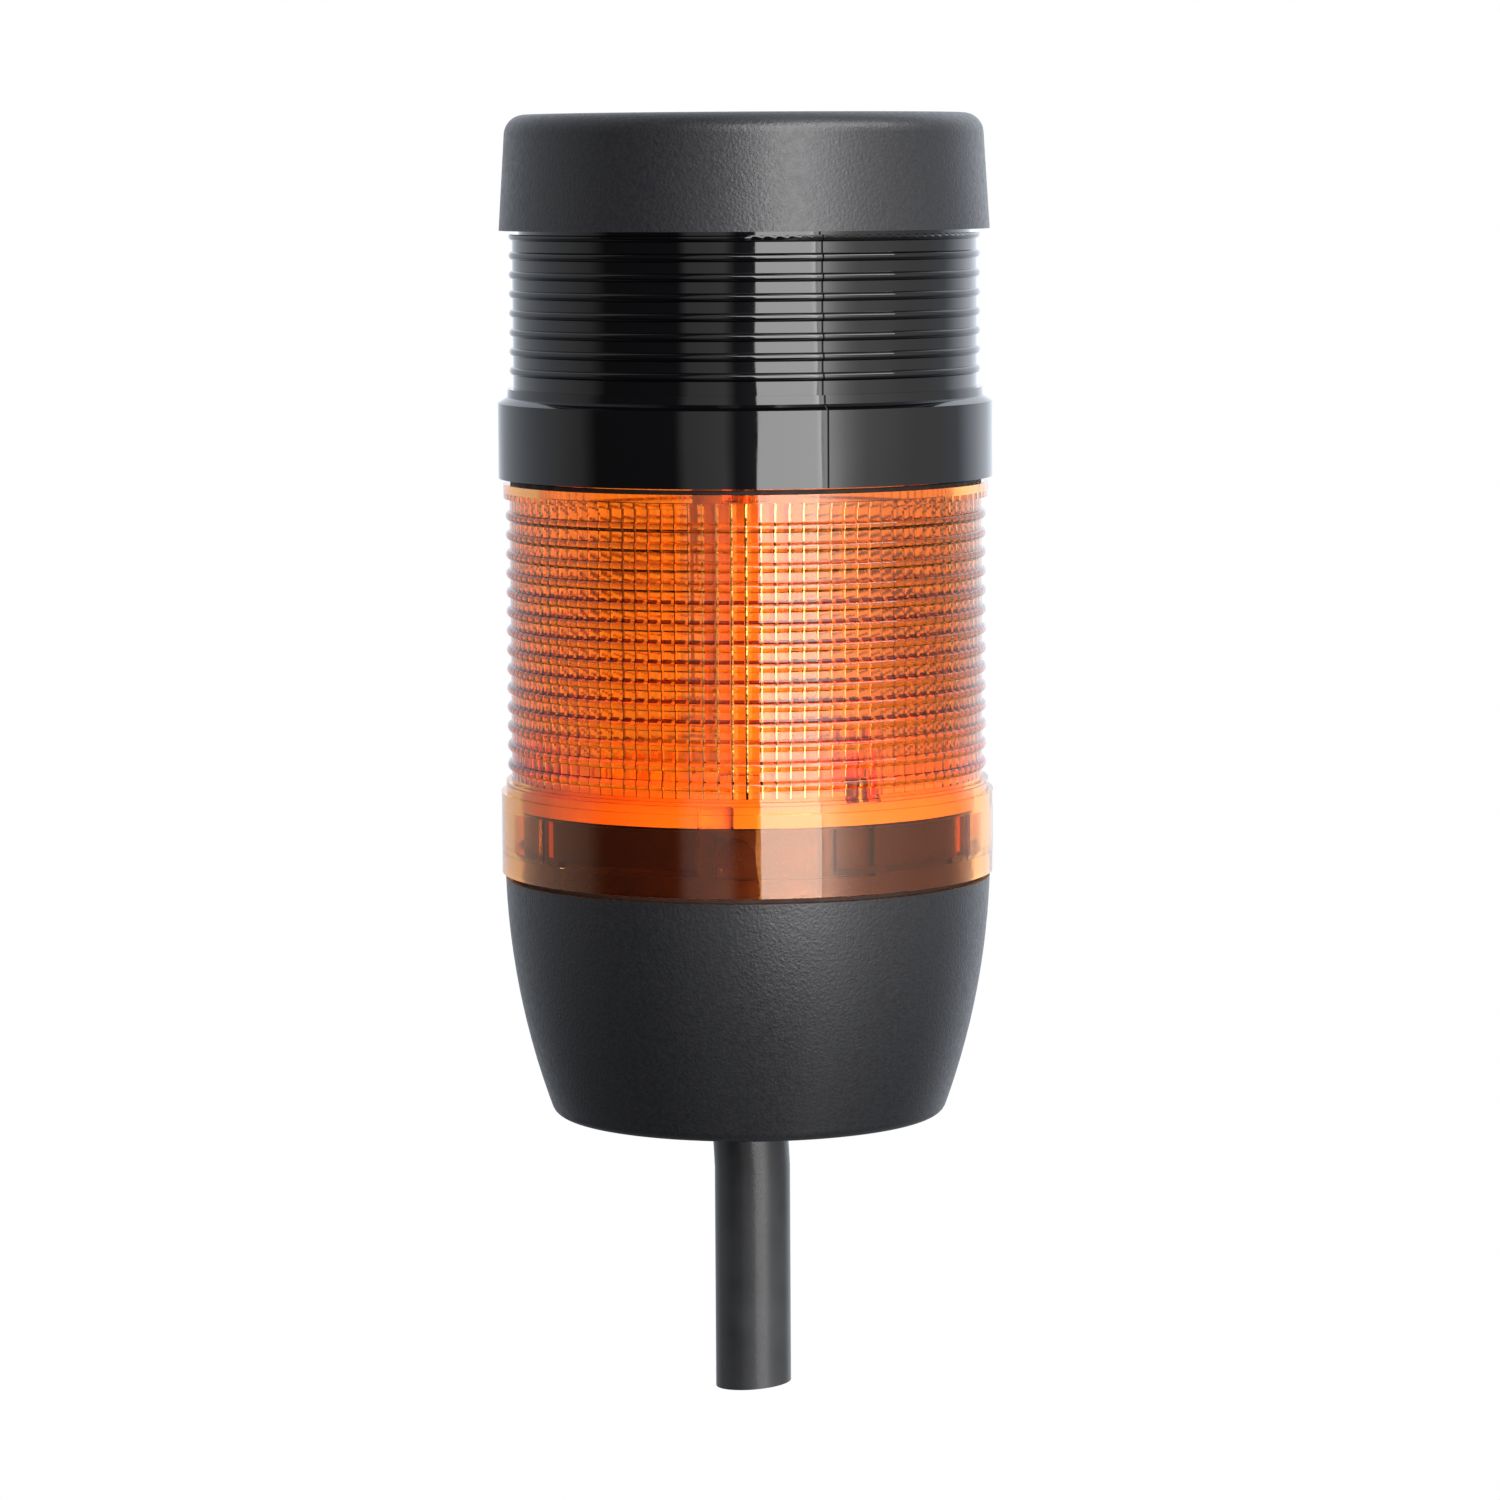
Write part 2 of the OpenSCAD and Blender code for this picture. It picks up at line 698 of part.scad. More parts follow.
module sounder_housing() {
    color("#141416") difference() {
        union() {
            rotate_extrude() sounder_outline();
            bayonet_pins(sounder_z);
            bayonet_neck(cap_z, sounder_wall_top - 1.8, sounder_neck_top);
            translate([0, 0, sounder_neck_top - deck_t]) cylinder(r = neck_bore + 0.5, h = deck_t);
            at(plate_screw_angles, plate_screw_r)
                translate([0, 0, sounder_board_top])
                    cylinder(r = post_r, h = sounder_neck_top - 1 - sounder_board_top);
        }
        at(plate_screw_angles, plate_screw_r)
            translate([0, 0, sounder_board_top - 1]) cylinder(r = screw_shank_r, h = 8);
        // Sound holes over the can, in rings
        translate([can_at[0], can_at[1], sounder_neck_top - deck_t - 1])
            for (row = [1:3]) for (i = [0:6 * row - 1])
                rotate([0, 0, i * 60 / row]) translate([row * sound_hole_step, 0, 0])
                    cylinder(r = sound_hole_r, h = deck_t + 2);
        // Openings over the volume trimmer and the tone switch
        translate([trimmer_at[0], trimmer_at[1], sounder_neck_top - deck_t - 1])
            cylinder(r = trimmer_w / 2, h = deck_t + 2);
        translate([switch_at[0] - switch_size[0] / 2, switch_at[1] - switch_size[1] / 2,
                   sounder_neck_top - deck_t - 1])
            cube([switch_size[0], switch_size[1], deck_t + 2]);
    }
}

module sounder_board() {
    color("#2f6b45") difference() {
        translate([0, 0, sounder_board_z]) cylinder(r = sounder_wall_bore - 0.3, h = board_t);
        at(plate_screw_angles, plate_screw_r)
            translate([0, 0, sounder_board_z - 1]) cylinder(r = screw_shank_r + screw_play, h = board_t + 2);
    }
}

module sounder_board_screws() {
    color("#b9bcc0")
        screws_up(plate_screw_angles, plate_screw_r, sounder_board_z - screw_head_h, board_screw_l);
}

module sounder_fingers() {
    color("#d9b866")
        contact_fingers(sounder_board_z, light_plate_z + plate_t + contact_t + finger_gap);
}

// Resonator can of the buzzer, open at the port in its top
module sounder_can() {
    color("#202124") translate([can_at[0], can_at[1], sounder_board_top]) difference() {
        cylinder(r = can_r, h = can_h);
        translate([0, 0, can_t]) cylinder(r = can_r - can_t, h = can_h - 2 * can_t);
        translate([0, 0, can_h - 2]) cylinder(r = can_port_r, h = 3);
    }
}

// Brass disc with a smaller ceramic disc on it
module sounder_diaphragm() {
    color("#d9b866") translate([can_at[0], can_at[1], sounder_board_top + diaphragm_up]) {
        cylinder(r = can_r - can_t - diaphragm_play, h = diaphragm_t);
        translate([0, 0, diaphragm_t]) cylinder(r = can_r * 0.55, h = diaphragm_t);
    }
}

// Capacitor and driver chip
module sounder_components() {
    capacitor_at = [-22.5, -8];
    chip_at = [17, -14];
    color("#34363a") {
        translate([capacitor_at[0], capacitor_at[1], sounder_board_top]) cylinder(r = 3.5, h = 9);
        translate([chip_at[0], chip_at[1], sounder_board_top]) cube([5, 6, 1.6]);
    }
}

module volume_trimmer() {
    color("#2c64b0") translate([trimmer_at[0], trimmer_at[1], sounder_board_top]) difference() {
        translate([-trimmer_w / 2, -trimmer_w / 2, 0]) cube([trimmer_w, trimmer_w, trimmer_h]);
        translate([0, 0, trimmer_h - 2]) cylinder(r = rotor_r + rotor_gap, h = 3);
    }
}

module volume_rotor() {
    color("#e8e8e4")
        translate([trimmer_at[0], trimmer_at[1], sounder_board_top + trimmer_h - 2 + rotor_gap])
            difference() {
                cylinder(r = rotor_r, h = rotor_h);
                translate([-1.5, -0.3, rotor_h - 0.7]) cube([3, 0.6, 1]);
            }
}

// Body of the two-way tone switch
module tone_switch() {
    color("#b5302a") translate([switch_at[0], switch_at[1], sounder_board_top]) difference() {
        translate([-switch_size[0] / 2, -switch_size[1] / 2, 0]) cube(switch_size);
        for (x = [-slot_x, slot_x])
            translate([x - slot_size[0] / 2, -slot_size[1] / 2, switch_size[2] - slot_size[2]])
                cube([slot_size[0], slot_size[1], slot_size[2] + 1]);
    }
}

// A slider at the near end of its slot
module tone_slider(x) {
    color("#f0f0ec")
        translate([switch_at[0] + x - slider_size[0] / 2,
                   switch_at[1] - slot_size[1] / 2 + slider_gap,
                   sounder_board_top + switch_size[2] - slot_size[2] + slider_gap])
            cube(slider_size);
}

module tone_slider_a() {
    tone_slider(-slot_x);
}

module tone_slider_b() {
    tone_slider(slot_x);
}

module cap_outline() {
    rim = collar_r - 0.37;
    draft = 3.6;
    edge_z = tower_top - cap_edge_r;
    edge_x = rim - tan(draft) * (edge_z + cap_edge_r * sin(draft) - cap_z) - cap_edge_r * cos(draft);
    polygon([
        [0, cap_z], [rim, cap_z],
        [edge_x + cap_edge_r * cos(draft), edge_z + cap_edge_r * sin(draft)],
        [edge_x, edge_z], [edge_x, tower_top], [0, tower_top]
    ]);
    translate([edge_x, edge_z]) circle(r = cap_edge_r);
}

module cap_shell() {
    color("#2f3134") {
        difference() {
            rotate_extrude() intersection() {
                cap_outline();
                translate([0, cap_z]) square([collar_r + 1, cap_h]);
            }
            translate([0, 0, cap_z - 1]) cylinder(r = collar_bore, h = cap_h - 1.8);
        }
        bayonet_pins(cap_z);
    }
}

base_housing();
base_gasket();
cable_grommet();
cable_jacket();
core_brown();
core_blue();
core_black();
core_grey();
core_earth();
strain_clamp();
strain_clamp_screws();
terminal_block();
terminal_screws();
base_contact_plate();
base_contacts();
base_plate_screws();
base_rim_seal();
light_lens();
light_carrier();
light_carrier_screws();
light_fingers();
led_board();
leds();
light_reflector();
light_bus_bars();
light_contact_plate();
light_contacts();
light_plate_screws();
light_rim_seal();
sounder_housing();
sounder_board();
sounder_board_screws();
sounder_fingers();
sounder_can();
sounder_diaphragm();
sounder_components();
volume_trimmer();
volume_rotor();
tone_switch();
tone_slider_a();
tone_slider_b();
cap_shell();
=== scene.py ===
"""Looks for a signal tower: bowl base on a cable, amber light, black sounder and cap.

Metres, +Z up, the front faces -Y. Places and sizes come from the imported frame.
"""

import json
import math

import bpy
from mathutils import Matrix, Vector


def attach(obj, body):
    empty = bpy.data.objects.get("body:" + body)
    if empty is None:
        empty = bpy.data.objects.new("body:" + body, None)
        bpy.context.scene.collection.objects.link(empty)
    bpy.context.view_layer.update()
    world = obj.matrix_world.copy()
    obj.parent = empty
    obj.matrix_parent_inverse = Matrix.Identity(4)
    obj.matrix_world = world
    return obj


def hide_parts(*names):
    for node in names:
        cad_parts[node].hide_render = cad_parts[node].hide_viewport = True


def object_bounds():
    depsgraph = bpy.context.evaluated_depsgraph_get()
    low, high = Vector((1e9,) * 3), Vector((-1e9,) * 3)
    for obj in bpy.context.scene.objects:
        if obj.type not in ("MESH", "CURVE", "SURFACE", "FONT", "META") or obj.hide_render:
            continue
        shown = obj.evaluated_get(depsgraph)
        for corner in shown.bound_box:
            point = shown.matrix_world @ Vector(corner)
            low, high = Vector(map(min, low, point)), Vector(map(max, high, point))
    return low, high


MM = 0.001

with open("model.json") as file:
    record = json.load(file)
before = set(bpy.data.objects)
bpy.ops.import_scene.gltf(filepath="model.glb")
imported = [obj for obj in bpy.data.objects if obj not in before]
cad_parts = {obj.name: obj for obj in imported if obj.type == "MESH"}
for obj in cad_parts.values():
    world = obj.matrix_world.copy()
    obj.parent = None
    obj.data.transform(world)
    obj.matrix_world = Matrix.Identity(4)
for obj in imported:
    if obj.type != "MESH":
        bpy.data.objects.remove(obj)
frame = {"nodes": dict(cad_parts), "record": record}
cad_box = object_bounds()
scene = bpy.context.scene
tower_top = cad_box[1].z


# ---------------------------------------------------------------- camera

CAMERA_AWAY = 800 * MM
CAMERA_UP = 134.3 * MM
CAMERA_ASIDE = 0.4 * MM
CAMERA_LENS = 135.5
CAMERA_DOWN = math.radians(5.88)
CAMERA_ROLL = math.radians(-0.33)


def make_camera():
    data = bpy.data.cameras.new("camera")
    data.lens = CAMERA_LENS
    data.sensor_width = 36
    data.clip_start = 0.01
    camera = bpy.data.objects.new("camera", data)
    scene.collection.objects.link(camera)
    turn = Matrix.Rotation(math.pi / 2 - CAMERA_DOWN, 4, "X") @ Matrix.Rotation(CAMERA_ROLL, 4, "Z")
    camera.matrix_world = Matrix.Translation((CAMERA_ASIDE, -CAMERA_AWAY, CAMERA_UP)) @ turn
    scene.camera = camera


# ---------------------------------------------------------------- meshes

def add_mesh(name, points, faces, material, sharp=30):
    """A smooth-shaded piece whose edges above the angle sharp, in degrees, stay crisp."""
    mesh = bpy.data.meshes.new(name)
    mesh.from_pydata(points, [], faces)
    mesh.validate()
    mesh.polygons.foreach_set("use_smooth", [True] * len(mesh.polygons))
    mesh.set_sharp_from_angle(angle=math.radians(sharp))
    mesh.materials.append(material)
    piece = bpy.data.objects.new(name, mesh)
    scene.collection.objects.link(piece)
    return piece


def tube_rings(route, radius, sides, end_lean=0.0):
    """Points of rings round a route. The last ring leans by end_lean, lower towards -X."""
    rings = []
    for i, place in enumerate(route):
        before = route[max(i - 1, 0)]
        after = route[min(i + 1, len(route) - 1)]
        way = (after - before).normalized()
        side = way.cross(Vector((0, 1, 0))).normalized()
        across = way.cross(side)
        for s in range(sides):
            a = 2 * math.pi * s / sides
            point = place + radius * (math.cos(a) * side + math.sin(a) * across)
            if i == len(route) - 1:
                point.z += end_lean * (point.x - place.x + radius)
            rings.append(point)
    return rings


# ---------------------------------------------------------------- shader nodes

def maths_node(tree, operation, a, b=0.0):
    """A Math node on a and b, each a plain number or another node's output."""
    node = tree.nodes.new("ShaderNodeMath")
    node.operation = operation
    for socket, value in zip(node.inputs, (a, b)):
        if isinstance(value, (int, float)):
            socket.default_value = value
        else:
            tree.links.new(value, socket)
    return node.outputs["Value"]


def spread_node(tree, value, low, high, from_low, from_high):
    """value, clamped and moved from the range from_low to from_high onto low to high."""
    node = tree.nodes.new("ShaderNodeMapRange")
    node.inputs["From Min"].default_value = from_low
    node.inputs["From Max"].default_value = from_high
    node.inputs["To Min"].default_value = low
    node.inputs["To Max"].default_value = high
    tree.links.new(value, node.inputs["Value"])
    return node.outputs["Result"]


# ---------------------------------------------------------------- materials

# Where a noise texture's values mostly lie
NOISE_LOW = 0.3
NOISE_HIGH = 0.7
# The mould's seam on the black plastic: degrees to the right of the front, width and depth
SEAM_ANGLE = 18.8
SEAM_W = 0.14 * MM
SEAM_DEPTH = 0.12 * MM
AMBER = (1.0, 0.415, 0.085)
AMBER_CAST = (1.0, 0.42, 0.06)
# The lens's rings and flutes, as in the frame, and painted shade: dark dashes at the rings' upper edges
# that stand in for the dark inside of the tower seen through the rings
LENS_RING_Z = 50.3 * MM
LENS_RING_PITCH = 2.72 * MM
LENS_OUTSIDE = 33.3 * MM
FLUTES = 104
PAINTED_SHADE_COLOUR = (0.06, 0.006, 0.0)
DASH_UP = 0.27
DASH_H = 0.2
DASH_L = 0.72
DASH_MIDDLE = 67 * MM
DASH_FADE = (9 * MM, 17 * MM)


class Shader:
    """A Principled material with short calls for the nodes that feed it."""

    def __init__(self, name, colour, roughness, **sockets):
        self.material = bpy.data.materials.new(name)
        self.material.use_nodes = True
        self.tree = self.material.node_tree
        self.nodes = self.tree.nodes
        self.bsdf = self.nodes["Principled BSDF"]
        self.bsdf.inputs["Base Color"].default_value = (*colour, 1)
        self.bsdf.inputs["Roughness"].default_value = roughness
        for socket, value in sockets.items():
            self.bsdf.inputs[socket.replace("_", " ")].default_value = value
        self.place = self.nodes.new("ShaderNodeTexCoord").outputs["Object"]
        self.normal = None

    def link(self, source, target):
        self.tree.links.new(source, target)

    def stretched(self, scale):
        """Object coordinates, scaled by a different number along each axis."""
        mapping = self.nodes.new("ShaderNodeMapping")
        mapping.inputs["Scale"].default_value = scale
        self.link(self.place, mapping.inputs["Vector"])
        return mapping.outputs["Vector"]

    def noise(self, scale, detail=2.0, place=None):
        node = self.nodes.new("ShaderNodeTexNoise")
        node.inputs["Scale"].default_value = scale
        node.inputs["Detail"].default_value = detail
        self.link(place or self.place, node.inputs["Vector"])
        return node.outputs["Fac"]

    def spread(self, value, low, high, from_low=NOISE_LOW, from_high=NOISE_HIGH):
        return spread_node(self.tree, value, low, high, from_low, from_high)

    def colours(self, value, first, second):
        """Base colour that runs from first to second over the range of a noise value."""
        ramp = self.nodes.new("ShaderNodeValToRGB")
        stops = zip(ramp.color_ramp.elements, (NOISE_LOW, NOISE_HIGH), (first, second))
        for stop, position, colour in stops:
            stop.position = position
            stop.color = (*colour, 1)
        self.link(value, ramp.inputs["Fac"])
        self.link(ramp.outputs["Color"], self.bsdf.inputs["Base Color"])

    def rough(self, value, low, high):
        self.link(self.spread(value, low, high), self.bsdf.inputs["Roughness"])

    def maths(self, operation, a, b=0.0):
        return maths_node(self.tree, operation, a, b)

    def seam(self, angle, width):
        """Falls from 1 to 0 within width of the upright half-plane at angle, 0 being the front."""
        turned = self.nodes.new("ShaderNodeVectorRotate")
        turned.rotation_type = "Z_AXIS"
        turned.inputs["Angle"].default_value = -math.radians(angle)
        self.link(self.place, turned.inputs["Vector"])
        parts = self.nodes.new("ShaderNodeSeparateXYZ")
        self.link(turned.outputs["Vector"], parts.inputs["Vector"])
        behind = self.maths("GREATER_THAN", parts.outputs["Y"], 0)
        off = self.maths("ADD", self.maths("ABSOLUTE", parts.outputs["X"]), behind)
        return self.spread(off, 0, 1, 0, width)

    def bump(self, value, depth, strength=1.0):
        node = self.nodes.new("ShaderNodeBump")
        node.inputs["Strength"].default_value = strength
        node.inputs["Distance"].default_value = depth
        self.link(value, node.inputs["Height"])
        if self.normal:
            self.link(self.normal, node.inputs["Normal"])
        self.normal = node.outputs["Normal"]
        self.link(self.normal, self.bsdf.inputs["Normal"])


def matt_plastic(name, colour):
    """Moulded plastic with a spark-eroded grain."""
    s = Shader(name, colour, 0.38, Specular_IOR_Level=0.5)
    s.rough(s.noise(1100, 3), 0.32, 0.42)
    s.colours(s.noise(1900, 2), [0.8 * c for c in colour], [1.2 * c for c in colour])
    s.bump(s.noise(2300, 2), 0.055 * MM)
    return s.material


def gloss_plastic(name, colour):
    """Polished moulding with faint flow waves, and the seam of the mould to the right of its front."""
    s = Shader(name, colour, 0.05, IOR=1.5)
    s.rough(s.noise(300, 4), 0.03, 0.07)
    s.bump(s.noise(50, 1), 0.3 * MM)
    s.bump(s.seam(SEAM_ANGLE, SEAM_W), SEAM_DEPTH)
    return s.material


def painted_shade_dashes(s):
    """Painted shade: 1 in short dark dashes along the upper edge of each ring of the lens, 0 elsewhere.
    The dashes stand in for the dark inside of the tower seen through the rings.
    """
    parts = s.nodes.new("ShaderNodeSeparateXYZ")
    s.link(s.place, parts.inputs["Vector"])
    x, y, z = (parts.outputs[axis] for axis in "XYZ")
    up = s.maths("FRACT", s.maths("DIVIDE", s.maths("SUBTRACT", z, LENS_RING_Z), LENS_RING_PITCH))
    edge = s.maths("LESS_THAN", s.maths("ABSOLUTE", s.maths("SUBTRACT", up, DASH_UP)), DASH_H / 2)
    turn = s.maths("MULTIPLY", s.maths("ARCTAN2", y, x), FLUTES / (2 * math.pi))
    along = s.maths("ABSOLUTE", s.maths("SUBTRACT", s.maths("FRACT", s.maths("ADD", turn, FLUTES)), 0.5))
    dash = s.maths("LESS_THAN", along, DASH_L / 2)
    away = s.maths("ABSOLUTE", s.maths("SUBTRACT", z, DASH_MIDDLE))
    fade = s.spread(away, 1.0, 0.0, *DASH_FADE)
    squares = s.maths("ADD", s.maths("MULTIPLY", x, x), s.maths("MULTIPLY", y, y))
    outside = s.maths("GREATER_THAN", s.maths("SQRT", squares), LENS_OUTSIDE)
    return s.maths("MULTIPLY", s.maths("MULTIPLY", edge, dash), s.maths("MULTIPLY", fade, outside))


def amber_plastic():
    """Clear amber polycarbonate. Light from lamps passes on through it to what is behind."""
    s = Shader("amber", AMBER, 0.04, IOR=1.5, Transmission_Weight=1.0, Specular_IOR_Level=0.2)
    s.rough(s.noise(400, 3), 0.02, 0.06)
    # Painted shade: the base colour turns dark in dashes on the rings, standing in for the dark inside
    # seen through them
    tint = s.nodes.new("ShaderNodeMix")
    tint.data_type = "RGBA"
    tint.inputs["A"].default_value = (*AMBER, 1)
    tint.inputs["B"].default_value = (*PAINTED_SHADE_COLOUR, 1)
    s.link(painted_shade_dashes(s), tint.inputs["Factor"])
    s.link(tint.outputs["Result"], s.bsdf.inputs["Base Color"])
    through = s.nodes.new("ShaderNodeBsdfTransparent")
    through.inputs["Color"].default_value = (*AMBER_CAST, 1)
    path = s.nodes.new("ShaderNodeLightPath")
    mix = s.nodes.new("ShaderNodeMixShader")
    s.link(path.outputs["Is Shadow Ray"], mix.inputs["Fac"])
    s.link(s.bsdf.outputs["BSDF"], mix.inputs[1])
    s.link(through.outputs["BSDF"], mix.inputs[2])
    s.link(mix.outputs["Shader"], s.nodes["Material Output"].inputs["Surface"])
    return s.material


def rubber(name, colour):
    s = Shader(name, colour, 0.6, Specular_IOR_Level=0.35)
    s.rough(s.noise(700, 3), 0.5, 0.72)
    s.colours(s.noise(200, 4), [0.8 * c for c in colour], [1.3 * c for c in colour])
    s.bump(s.noise(1800, 3), 0.04 * MM)
    return s.material


def jacket_material():
    """Extruded cable jacket: satin, with faint lines along its length."""
    s = Shader("cable_black", (0.022, 0.0225, 0.024), 0.36)
    lines = s.noise(1, 3, s.stretched((900, 900, 6)))
    s.rough(lines, 0.26, 0.38)
    s.colours(s.noise(150, 4), (0.018, 0.0185, 0.020), (0.030, 0.0305, 0.033))
    s.bump(lines, 0.02 * MM)
    s.bump(s.noise(1500, 2), 0.012 * MM)
    return s.material


def insulation(name, colour):
    s = Shader(name, colour, 0.32)
    s.colours(s.noise(500, 3), [0.88 * c for c in colour], colour)
    s.rough(s.noise(900, 2), 0.26, 0.4)
    s.bump(s.noise(700, 2), 0.01 * MM)
    return s.material


def metal(name, colour, low, high):
    s = Shader(name, colour, low, Metallic=1.0)
    s.colours(s.noise(350, 4), [0.82 * c for c in colour], colour)
    s.rough(s.noise(1, 3, s.stretched((250, 2500, 2500))), low, high)
    s.bump(s.noise(1500, 2), 0.006 * MM)
    return s.material


def satin_plastic(name, colour, roughness=0.4):
    s = Shader(name, colour, roughness)
    s.colours(s.noise(250, 3), [0.92 * c for c in colour], colour)
    s.rough(s.noise(800, 2), roughness - 0.07, roughness + 0.07)
    s.bump(s.noise(2200, 2), 0.015 * MM)
    return s.material


def circuit_board(name, colour, glass):
    """Solder resist over woven glass and copper tracks."""
    s = Shader(name, colour, 0.32, Coat_Weight=0.3)
    s.colours(s.noise(1, 1, s.stretched((900, 260, 1))), colour, glass)
    s.rough(s.noise(600, 2), 0.26, 0.42)
    s.bump(s.noise(1, 1, s.stretched((1500, 1500, 1))), 0.02 * MM)
    return s.material


def make_materials():
    return {
        "shell_matt": matt_plastic("shell_matt", (0.0115, 0.0118, 0.0140)),
        "shell_gloss": gloss_plastic("shell_gloss", (0.0015, 0.0015, 0.0020)),
        "amber": amber_plastic(),
        "rubber_black": rubber("rubber_black", (0.012, 0.012, 0.013)),
        "cable_black": jacket_material(),
        "core_brown": insulation("core_brown", (0.150, 0.055, 0.020)),
        "core_blue": insulation("core_blue", (0.030, 0.120, 0.400)),
        "core_black": insulation("core_black", (0.012, 0.012, 0.013)),
        "core_grey": insulation("core_grey", (0.270, 0.280, 0.300)),
        "core_earth": insulation("core_earth", (0.250, 0.420, 0.030)),
        "plastic_black": satin_plastic("plastic_black", (0.020, 0.021, 0.023)),
        "plastic_white": satin_plastic("plastic_white", (0.800, 0.780, 0.720), 0.34),
        "plastic_green": satin_plastic("plastic_green", (0.050, 0.220, 0.100)),
        "board_white": circuit_board("board_white", (0.740, 0.770, 0.720), (0.680, 0.710, 0.650)),
        "board_green": circuit_board("board_green", (0.020, 0.110, 0.045), (0.030, 0.160, 0.060)),
        "led_body": satin_plastic("led_body", (0.850, 0.650, 0.220), 0.2),
        "brass": metal("brass", (0.780, 0.580, 0.240), 0.20, 0.38),
        "steel": metal("steel", (0.560, 0.570, 0.580), 0.24, 0.40),
        "trimmer_blue": satin_plastic("trimmer_blue", (0.025, 0.120, 0.440)),
        "rotor_white": satin_plastic("rotor_white", (0.780, 0.770, 0.740)),
        "switch_red": satin_plastic("switch_red", (0.420, 0.030, 0.022)),
    }


def dress_frame(materials):
    """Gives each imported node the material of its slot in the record."""
    for part in frame["record"]["subparts"]:
        for slot in frame["nodes"][part["node"]].material_slots:
            slot.material = materials[part["material_slot"]]


# ---------------------------------------------------------------- stage

FLOOR_Z = -850 * MM
FLOOR_R = 1.9
FLOOR_STEPS = 96
# Softboxes: azimuth in degrees, distance and height in metres, width and height, radiance
SOFTBOXES = {
    "key": (20, 1.2, 0.31, (0.64, 1.14), 7.4),
    "strip": (40, 0.75, 0.75, (1.5, 0.3), 6.5),
}
# Light round the tower: azimuth in degrees, 0 at the camera's side and 90 at +X, and radiance
STUDIO = [
    (-180, 1.15), (-150, 0.80), (-130, 0.72), (-110, 0.60), (-97, 0.55), (-82, 0.40), (-72, 0.06),
    (-33, 0.06), (-28, 0.6), (-10, 0.8), (-4, 0.1), (33, 0.5), (36, 5.5), (40, 4.5), (46, 2.8), (52, 1.9),
    (58, 1.4), (72, 1.1), (86, 0.8), (100, 0.65), (116, 0.6), (128, 1.2), (140, 1.5), (158, 1.5),
    (180, 1.15),
]
STUDIO_MAX = 5.5
# The light beyond this azimuth, behind the tower, is slightly blue
COOL_FROM = 100
COOL = (0.92, 0.98, 1.08)
# Below the tower the light dims to DIM, between these two heights of a ray's direction
DIM = 0.2
DIM_RANGE = (-0.5, -0.05)


def make_floor():
    angles = [2 * math.pi * i / FLOOR_STEPS for i in range(FLOOR_STEPS)]
    rim = [(FLOOR_R * math.cos(a), FLOOR_R * math.sin(a), FLOOR_Z) for a in angles]
    paint = Shader("floor_paint", (0.9, 0.9, 0.9), 0.8, Emission_Strength=0.55)
    paint.bsdf.inputs["Emission Color"].default_value = (1, 1, 1, 1)
    floor = add_mesh("floor", rim, [list(range(FLOOR_STEPS))], paint.material)
    floor.visible_diffuse = False
    floor.visible_glossy = False
    floor.visible_transmission = False


def softbox(name, azimuth, away, height, size, radiance):
    """A rectangular lamp that faces the tower. Azimuth 0 is the camera's side, 90 is +X."""
    data = bpy.data.lights.new(name, "AREA")
    data.shape = "RECTANGLE"
    data.size, data.size_y = size
    data.energy = radiance * math.pi * size[0] * size[1]
    lamp = bpy.data.objects.new(name, data)
    scene.collection.objects.link(lamp)
    angle = math.radians(azimuth)
    place = Vector((away * math.sin(angle), -away * math.cos(angle), height))
    aim = Vector((0, 0, tower_top / 2)) - place
    lamp.matrix_world = Matrix.Translation(place) @ aim.to_track_quat("-Z", "Y").to_matrix().to_4x4()
    lamp.visible_camera = False


def make_world():
    """White to the eye. As light it follows STUDIO round the tower, and is dim below it."""
    world = bpy.data.worlds.new("studio")
    world.use_nodes = True
    scene.world = world
    tree = world.node_tree
    nodes, links = tree.nodes, tree.links
    way = nodes.new("ShaderNodeSeparateXYZ")
    links.new(nodes.new("ShaderNodeTexCoord").outputs["Generated"], way.inputs["Vector"])

    forward = maths_node(tree, "MULTIPLY", way.outputs["Y"], -1.0)
    turn = maths_node(tree, "ARCTAN2", way.outputs["X"], forward)
    share = maths_node(tree, "ADD", maths_node(tree, "DIVIDE", turn, 2 * math.pi), 0.5)
    ramp = nodes.new("ShaderNodeValToRGB")
    stops = ramp.color_ramp.elements
    while len(stops) < len(STUDIO):
        stops.new(0.5)
    for stop, (angle, radiance) in zip(stops, STUDIO):
        stop.position = (angle + 180) / 360
        tint = COOL if abs(angle) > COOL_FROM else (1, 1, 1)
        stop.color = (*[radiance / STUDIO_MAX * t for t in tint], 1)
    links.new(share, ramp.inputs["Fac"])

    low = spread_node(tree, way.outputs["Z"], DIM, 1.0, *DIM_RANGE)
    studio = nodes["Background"]
    links.new(ramp.outputs["Color"], studio.inputs["Color"])
    links.new(maths_node(tree, "MULTIPLY", low, STUDIO_MAX), studio.inputs["Strength"])
    backdrop = nodes.new("ShaderNodeBackground")
    path = nodes.new("ShaderNodeLightPath")
    mix = nodes.new("ShaderNodeMixShader")
    backdrop.inputs["Color"].default_value = (1, 1, 1, 1)
    links.new(path.outputs["Is Camera Ray"], mix.inputs["Fac"])
    links.new(studio.outputs["Background"], mix.inputs[1])
    links.new(backdrop.outputs["Background"], mix.inputs[2])
    links.new(mix.outputs["Shader"], nodes["World Output"].inputs["Surface"])


def make_stage():
    scene.view_settings.view_transform = "Standard"
    make_floor()
    make_world()
    for name, values in SOFTBOXES.items():
        softbox(name, *values)


# ---------------------------------------------------------------- cable

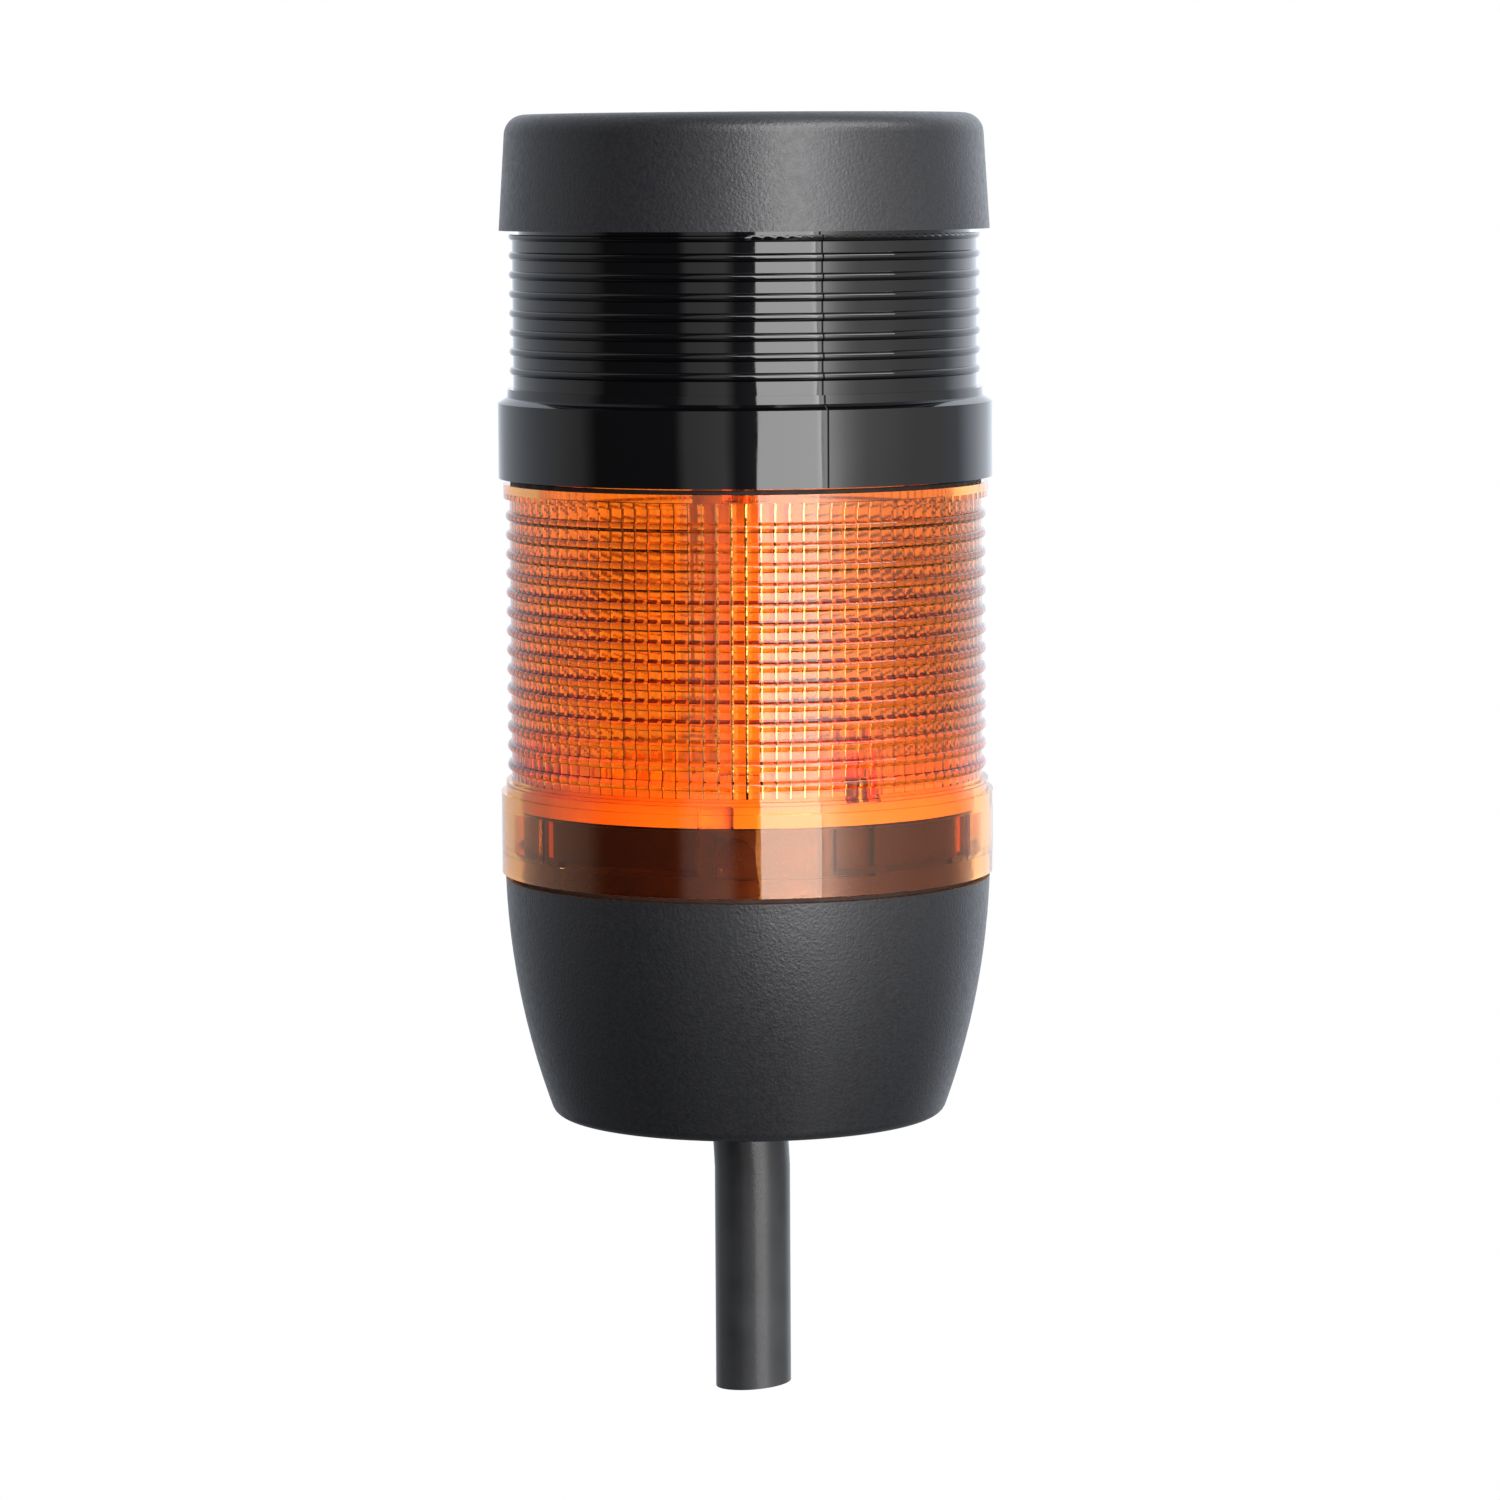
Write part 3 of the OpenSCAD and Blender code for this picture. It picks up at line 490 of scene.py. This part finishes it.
# The same route as in the frame, from inside the base to the cut end, in millimetres
CABLE_ROUTE = [Vector(p) * MM for p in [
    (0, 0, 25), (0, 0, 20), (0, 0, 16), (0, 0, 12), (0, 0, 8), (0, 0, 4), (0, 0, 0),
    (0.2, 0, -4), (0.4, 0, -8), (0.4, 0, -12), (0.4, 0, -16), (0.4, 0, -20),
    (0.4, 0, -24), (0.4, 0, -28), (0.4, 0, -32), (0.4, 0, -36), (0.4, 0, -40),
]]
# The cable leaves the base's underside at the origin
CABLE_R = 5.4 * MM
JACKET_T = 1.1 * MM
CUT_LEAN = 0.075
WIRE_RING = 2.4 * MM
WIRE_R = 1.2 * MM
COPPER_R = 0.65 * MM
BAR_L = 12 * MM
BAR_SIDES = 24
CABLE_SIDES = 64
# The filler ends a little inside the jacket, and the copper stands a little out of its wire
FILLER_BACK = 0.35 * MM
COPPER_OUT = 0.1 * MM
FILLER_PRESS = 0.02 * MM


def cut_bar(name, x, y, radius, extra, material):
    """A short round bar beside the middle of the cable, cut along the same slant as the jacket."""
    end = CABLE_ROUTE[-1]
    points = []
    for top in (True, False):
        for i in range(BAR_SIDES):
            a = 2 * math.pi * i / BAR_SIDES
            px, py = x + radius * math.cos(a), y + radius * math.sin(a)
            z = end.z + BAR_L if top else end.z + CUT_LEAN * (px + CABLE_R) - extra
            points.append(Vector((end.x + px, end.y + py, z)))
    beside = [(i, (i + 1) % BAR_SIDES) for i in range(BAR_SIDES)]
    faces = [(a, a + BAR_SIDES, b + BAR_SIDES, b) for a, b in beside]
    faces += [list(range(BAR_SIDES)), list(range(2 * BAR_SIDES - 1, BAR_SIDES - 1, -1))]
    bar = add_mesh(name, points, faces, material)
    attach(bar, "base")
    return bar


def make_cable_end(materials):
    """Filler, and the five wires with bare copper, in the mouth of the jacket."""
    ends = [cut_bar("cable_filler", 0, 0, CABLE_R - JACKET_T + FILLER_PRESS, -FILLER_BACK,
                    materials["plastic_black"])]
    for i, colour in enumerate(("brown", "blue", "black", "grey", "earth")):
        a = math.radians(90 + 72 * i)
        x, y = WIRE_RING * math.cos(a), WIRE_RING * math.sin(a)
        ends.append(cut_bar("wire_" + colour, x, y, WIRE_R, 0.0, materials["core_" + colour]))
        ends.append(cut_bar("copper_" + colour, x, y, COPPER_R, COPPER_OUT, materials["brass"]))
    return ends


def make_cable(materials):
    """The jacket is open at its cut end, where the filler and the five wires show."""
    sides = CABLE_SIDES
    outer = tube_rings(CABLE_ROUTE, CABLE_R, sides, CUT_LEAN)
    inner = tube_rings(CABLE_ROUTE, CABLE_R - JACKET_T, sides, CUT_LEAN)
    inward = len(outer)
    last = len(outer) - sides
    faces = []
    for start in range(0, last, sides):
        for s in range(sides):
            a, b = start + s, start + (s + 1) % sides
            faces.append((a, b, b + sides, a + sides))
            c, d = a + inward, b + inward
            faces.append((d, c, c + sides, d + sides))
    for s in range(sides):
        a, b = s, (s + 1) % sides
        faces.append((b, a, a + inward, b + inward))
        faces.append((last + a, last + b, last + b + inward, last + a + inward))
    jacket = add_mesh("cable", outer + inner, faces, materials["cable_black"])
    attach(jacket, "base")
    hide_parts("cable_jacket")
    make_cable_end(materials)


# ---------------------------------------------------------------- all together

make_camera()
materials = make_materials()
make_cable(materials)
dress_frame(materials)
make_stage()
